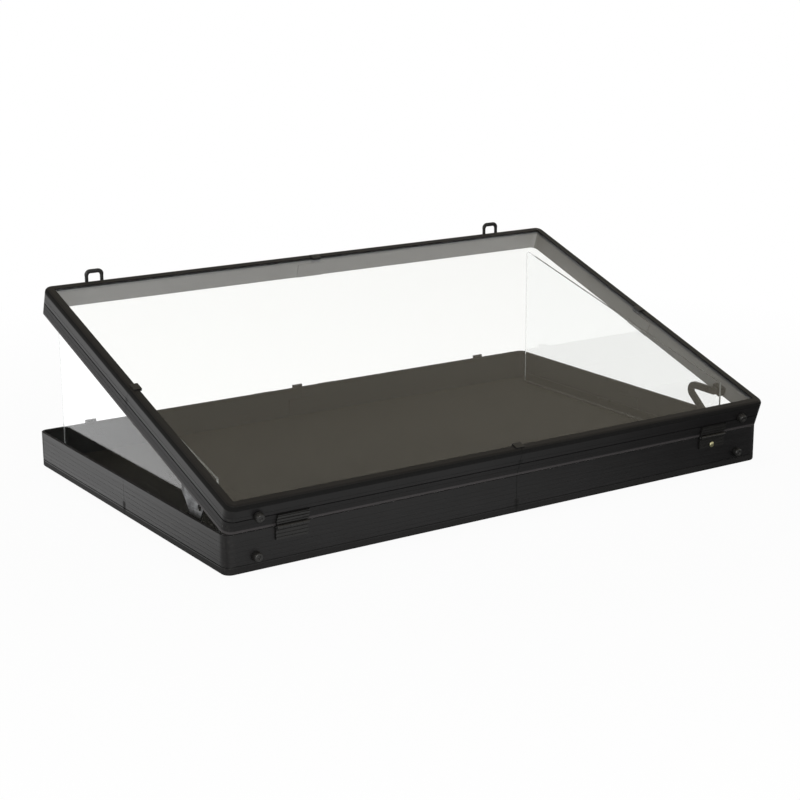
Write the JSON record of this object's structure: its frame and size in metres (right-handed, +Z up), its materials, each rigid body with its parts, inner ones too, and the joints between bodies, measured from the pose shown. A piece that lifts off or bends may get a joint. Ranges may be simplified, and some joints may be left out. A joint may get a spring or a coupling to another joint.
{
  "type": "graded card stand",
  "caption": "Folding table-top display case with a slanted glazed lid on stays, clear folding side panels, a felt-lined tray, hasps, locks and a carrying handle",
  "frame": {"origin": "centre of the open case's bounding box in plan, on the table under the base", "axes": "+X along the width, -Y the customer side with the lid hinges, +Y the seller side with the handle, +Z up"},
  "size_m": [0.864, 0.6326, 0.2817],
  "materials": {
    "frame_aluminium": "black anodised, satin",
    "plate_aluminium": "mill",
    "black_steel": "black enamel, semi-gloss",
    "zinc_steel": "zinc plated",
    "brass": "bright",
    "floor_board": "hardboard, stained black",
    "felt": "black felt",
    "lid_glass": "clear float glass",
    "clear_acrylic": "clear cast acrylic",
    "seal_rubber": "black, matte",
    "moulded_plastic": "black, fine grain"
  },
  "bodies": {
    "base": {"base_feet": "moulded_plastic", "base_rail_hinge_left": "frame_aluminium", "base_rail_hinge_right": "frame_aluminium", "base_rail_mouth_left": "frame_aluminium", "base_rail_mouth_right": "frame_aluminium", "base_rivets": "black_steel", "base_splice_plates": "plate_aluminium", "floor_lining": "felt", "floor_panel": "floor_board", "handle_brackets": "moulded_plastic", "handle_pins": "zinc_steel", "hinge_base_leaf_left": "black_steel", "hinge_base_leaf_right": "black_steel", "hinge_screw": "brass", "lock_body_center": "black_steel", "lock_body_left": "black_steel", "lock_body_right": "black_steel", "panel_hinge_pins": "zinc_steel", "panel_hinge_strip_left": "frame_aluminium", "panel_hinge_strip_right": "frame_aluminium", "stay_brackets": "zinc_steel"},
    "lid": {"glazing_seal": "seal_rubber", "hasp_pins": "black_steel", "hasp_plate_center": "black_steel", "hasp_plate_left": "black_steel", "hasp_plate_right": "black_steel", "hinge_lid_leaf_left": "black_steel", "hinge_lid_leaf_right": "black_steel", "lid_feet": "moulded_plastic", "lid_glass": "lid_glass", "lid_hinge_pins": "zinc_steel", "lid_rail_hinge_left": "frame_aluminium", "lid_rail_hinge_right": "frame_aluminium", "lid_rail_mouth_left": "frame_aluminium", "lid_rail_mouth_right": "frame_aluminium", "lid_rivets": "black_steel", "lid_seam_clips": "black_steel", "lid_splice_plates": "plate_aluminium", "stay_arm_left": "black_steel", "stay_arm_right": "black_steel", "stay_check_plate": "zinc_steel", "stay_lugs": "black_steel", "stay_studs": "zinc_steel"},
    "panel_left": {"side_panel_left": "clear_acrylic", "panel_hinge_leaf_left": "frame_aluminium"},
    "panel_right": {"side_panel_right": "clear_acrylic", "panel_hinge_leaf_right": "frame_aluminium"},
    "handle": {"carrying_handle": "moulded_plastic"},
    "hasp_left": {"hasp_loop_left": "black_steel"},
    "slide_left": {"latch_slide_left": "zinc_steel"},
    "catch_left": {"lock_catch_left": "black_steel"},
    "key_left": {"key_cylinder_left": "brass"},
    "hasp_right": {"hasp_loop_right": "black_steel"},
    "slide_right": {"latch_slide_right": "zinc_steel"},
    "catch_right": {"lock_catch_right": "black_steel"},
    "key_right": {"key_cylinder_right": "brass"},
    "hasp_center": {"hasp_loop_center": "black_steel"},
    "slide_center": {"latch_slide_center": "zinc_steel"},
    "catch_center": {"lock_catch_center": "black_steel"},
    "key_center": {"key_cylinder_center": "brass"}
  },
  "joints": [
    {"name": "lid_tilt", "type": "hinge", "parent": "base", "child": "lid", "pos_m": [0, -0.30345, 0.051], "axis": [1, 0, 0], "range_deg": [-18.7, 0]},
    {"name": "panel_fold_left", "type": "hinge", "parent": "base", "child": "panel_left", "pos_m": [-0.4095, 0, 0.0087], "axis": [0, 1, 0], "range_deg": [0, 90]},
    {"name": "panel_fold_right", "type": "hinge", "parent": "base", "child": "panel_right", "pos_m": [0.4095, 0, 0.0087], "axis": [0, 1, 0], "range_deg": [-90, 0]},
    {"name": "hasp_swing_left", "type": "hinge", "parent": "lid", "child": "hasp_left", "pos_m": [-0.3495, 0.22799, 0.25347], "axis": [1, 0, 0], "range_deg": [-161, 19]},
    {"name": "hasp_swing_right", "type": "hinge", "parent": "lid", "child": "hasp_right", "pos_m": [0.3405, 0.22799, 0.25347], "axis": [1, 0, 0], "range_deg": [-161, 19]},
    {"name": "hasp_swing_center", "type": "hinge", "parent": "lid", "child": "hasp_center", "pos_m": [-0.0045, 0.22799, 0.25347], "axis": [1, 0, 0], "range_deg": [-15, 165]},
    {"name": "handle_swing", "type": "hinge", "parent": "base", "child": "handle", "pos_m": [0, 0.26835, 0.0384], "axis": [1, 0, 0], "range_deg": [-50, 36.5]},
    {"name": "latch_slide_left", "type": "slide", "parent": "base", "child": "slide_left", "axis": [1, 0, 0], "range_m": [-0.005, 0]},
    {"name": "lock_catch_left", "type": "slide", "parent": "base", "child": "catch_left", "axis": [0, 1, 0], "range_m": [0, 0.0029]},
    {"name": "key_turn_left", "type": "hinge", "parent": "base", "child": "key_left", "pos_m": [-0.351, 0.26285, 0.035], "axis": [0, 1, 0], "range_deg": [-90, 0]},
    {"name": "latch_slide_right", "type": "slide", "parent": "base", "child": "slide_right", "axis": [1, 0, 0], "range_m": [-0.005, 0]},
    {"name": "lock_catch_right", "type": "slide", "parent": "base", "child": "catch_right", "axis": [0, 1, 0], "range_m": [0, 0.0029]},
    {"name": "key_turn_right", "type": "hinge", "parent": "base", "child": "key_right", "pos_m": [0.339, 0.26285, 0.035], "axis": [0, 1, 0], "range_deg": [-90, 0]},
    {"name": "latch_slide_center", "type": "slide", "parent": "base", "child": "slide_center", "axis": [1, 0, 0], "range_m": [-0.005, 0]},
    {"name": "lock_catch_center", "type": "slide", "parent": "base", "child": "catch_center", "axis": [0, 1, 0], "range_m": [0, 0.0029]},
    {"name": "key_turn_center", "type": "hinge", "parent": "base", "child": "key_center", "pos_m": [0.004, 0.26285, 0.023], "axis": [0, 1, 0], "range_deg": [-90, 0]}
  ],
  "couplings": [
    {"joint": "panel_fold_left", "follows": "lid_tilt", "ratio": -4.81},
    {"joint": "panel_fold_right", "follows": "lid_tilt", "ratio": 4.81},
    {"joint": "lock_catch_left", "follows": "latch_slide_left", "ratio": -0.58},
    {"joint": "lock_catch_right", "follows": "latch_slide_right", "ratio": -0.58},
    {"joint": "lock_catch_center", "follows": "latch_slide_center", "ratio": -0.58}
  ]
}
